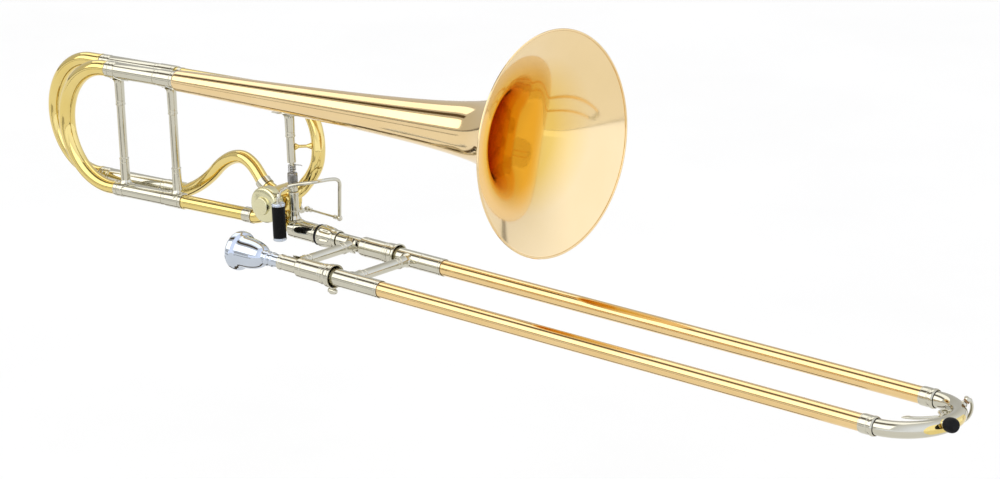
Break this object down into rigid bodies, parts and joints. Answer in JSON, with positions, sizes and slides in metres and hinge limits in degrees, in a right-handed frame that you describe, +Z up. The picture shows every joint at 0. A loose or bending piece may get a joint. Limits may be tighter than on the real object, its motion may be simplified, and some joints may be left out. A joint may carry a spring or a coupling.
{
  "type": "trombone",
  "caption": "Tenor trombone with an open-wrap F attachment, rose-brass bell, nickel-silver slide fittings and a thumb-operated rotary valve",
  "frame": {"origin": "Middle of the inner slide's brace, on the plane of the two slide tubes, where the left hand holds it", "axes": "+X runs along the slide from the player to the bow, +Y to the player's left, from the mouthpiece tube to the bell tube, +Z up"},
  "size_m": [1.2204, 0.2174, 0.2761],
  "materials": {
    "black_plastic": "smooth black plastic",
    "black_rubber": "matt black rubber",
    "cork": "bare cork",
    "nickel_silver": "polished nickel silver",
    "rose_brass": "polished and lacquered",
    "silver_plate": "bright silver plate",
    "spring_steel": "drawn steel, satin",
    "yellow_brass": "polished and lacquered"
  },
  "bodies": {
    "bell_section": {"bell": "rose_brass", "main_tuning_sleeve_upper": "nickel_silver", "main_tuning_sleeve_lower": "nickel_silver", "f_tuning_sleeve_upper": "nickel_silver", "f_tuning_sleeve_lower": "nickel_silver", "neckpipe": "yellow_brass", "neckpipe_ferrule": "nickel_silver", "f_lower_bend": "yellow_brass", "f_lower_bend_ferrule": "nickel_silver", "f_front_bend": "yellow_brass", "valve_casing": "yellow_brass", "valve_front_cap": "nickel_silver", "valve_rear_plate": "nickel_silver", "rear_post": "nickel_silver", "middle_post": "nickel_silver", "bell_post": "nickel_silver", "f_bend_spacer": "yellow_brass", "sleeve_stay_upper": "nickel_silver", "sleeve_stay_lower": "nickel_silver", "spring_collar": "nickel_silver", "lever_spring": "spring_steel", "inner_slide_tube_mouthpiece": "nickel_silver", "cork_barrel_mouthpiece": "nickel_silver", "inner_slide_tube_bell": "nickel_silver", "cork_barrel_bell": "nickel_silver", "barrel_mouth_ring": "nickel_silver", "inner_slide_brace": "nickel_silver", "mouthpiece_receiver": "nickel_silver", "bell_receiver": "nickel_silver", "lock_nut_washer": "black_rubber", "slide_tenon": "nickel_silver"},
    "hand_slide": {"slide_bow": "nickel_silver", "water_key_saddle": "nickel_silver", "water_key_pivot_pin": "spring_steel", "bow_guard": "yellow_brass", "rubber_bumper": "black_rubber", "outer_slide_tube_mouthpiece": "rose_brass", "outer_slide_sleeve_mouthpiece": "nickel_silver", "bow_ferrule_mouthpiece": "nickel_silver", "outer_slide_tube_bell": "rose_brass", "outer_slide_sleeve_bell": "nickel_silver", "bow_ferrule_bell": "nickel_silver", "outer_slide_brace": "nickel_silver"},
    "water_key": {"water_key_lever": "nickel_silver", "water_key_pad": "cork"},
    "main_tuning_slide": {"main_tuning_crook": "yellow_brass", "main_tuning_leg_upper": "nickel_silver", "main_tuning_leg_lower": "nickel_silver"},
    "f_tuning_slide": {"f_tuning_crook": "yellow_brass", "f_tuning_leg_upper": "nickel_silver", "f_tuning_leg_lower": "nickel_silver"},
    "mouthpiece": {"mouthpiece": "silver_plate"},
    "slide_lock": {"slide_lock_ring": "nickel_silver"},
    "bell_lock_nut": {"bell_lock_nut": "nickel_silver"},
    "thumb_lever": {"thumb_lever": "nickel_silver", "touchpiece_spool": "silver_plate", "touchpiece_sleeve": "black_plastic"},
    "valve_rotor": {"valve_rotor": "yellow_brass", "valve_stop_arm": "nickel_silver"},
    "valve_link": {"link_rod": "nickel_silver"}
  },
  "joints": [
    {"name": "hand_slide_travel", "type": "slide", "parent": "bell_section", "child": "hand_slide", "axis": [1, 0, 0], "range_m": [0, 0.58]},
    {"name": "water_key_pivot", "type": "hinge", "parent": "hand_slide", "child": "water_key", "pos_m": [0.70606, 0.02194, -0.00248], "axis": [0.7309, -0.682, 0.0255], "range_deg": [0, 8], "stiffness_Nm_per_rad": 0.03, "springref_deg": -34.38},
    {"name": "main_tuning_slide_pull", "type": "slide", "parent": "bell_section", "child": "main_tuning_slide", "axis": [-0.9989, 0, -0.0471], "range_m": [0, 0.06]},
    {"name": "f_tuning_slide_pull", "type": "slide", "parent": "bell_section", "child": "f_tuning_slide", "axis": [-0.9989, 0, -0.0471], "range_m": [0, 0.07]},
    {"name": "mouthpiece_draw", "type": "slide", "parent": "bell_section", "child": "mouthpiece", "axis": [-1, 0, 0], "range_m": [0, 0.03]},
    {"name": "slide_lock_turn", "type": "hinge", "parent": "bell_section", "child": "slide_lock", "pos_m": [0.053, -0.045, 0], "axis": [1, 0, 0], "range_deg": [0, 30]},
    {"name": "lock_nut_turn", "type": "hinge", "parent": "bell_section", "child": "bell_lock_nut", "pos_m": [-0.035, 0.045, 0], "axis": [1, 0, 0], "range_deg": [0, 170]},
    {"name": "thumb_lever_pivot", "type": "hinge", "parent": "bell_section", "child": "thumb_lever", "pos_m": [-0.08589, 0.045, 0.04203], "axis": [-0.0471, 0, 0.9989], "range_deg": [0, 34.96], "stiffness_Nm_per_rad": 0.2, "springref_deg": -28.65},
    {"name": "valve_rotor_turn", "type": "hinge", "parent": "bell_section", "child": "valve_rotor", "pos_m": [-0.10804, 0.0485, 0.02347], "axis": [0, 1, 0], "range_deg": [0, 90]},
    {"name": "valve_link_swing", "type": "hinge", "parent": "thumb_lever", "child": "valve_link", "pos_m": [-0.05476, 0.079, 0.00826], "axis": [-0.7338, -0.0519, 0.6773], "range_deg": [-30.17, 0]}
  ],
  "couplings": [
    {"joint": "valve_rotor_turn", "follows": "thumb_lever_pivot", "ratio": 2.5744},
    {"joint": "valve_link_swing", "follows": "thumb_lever_pivot", "ratio": -0.86288}
  ]
}
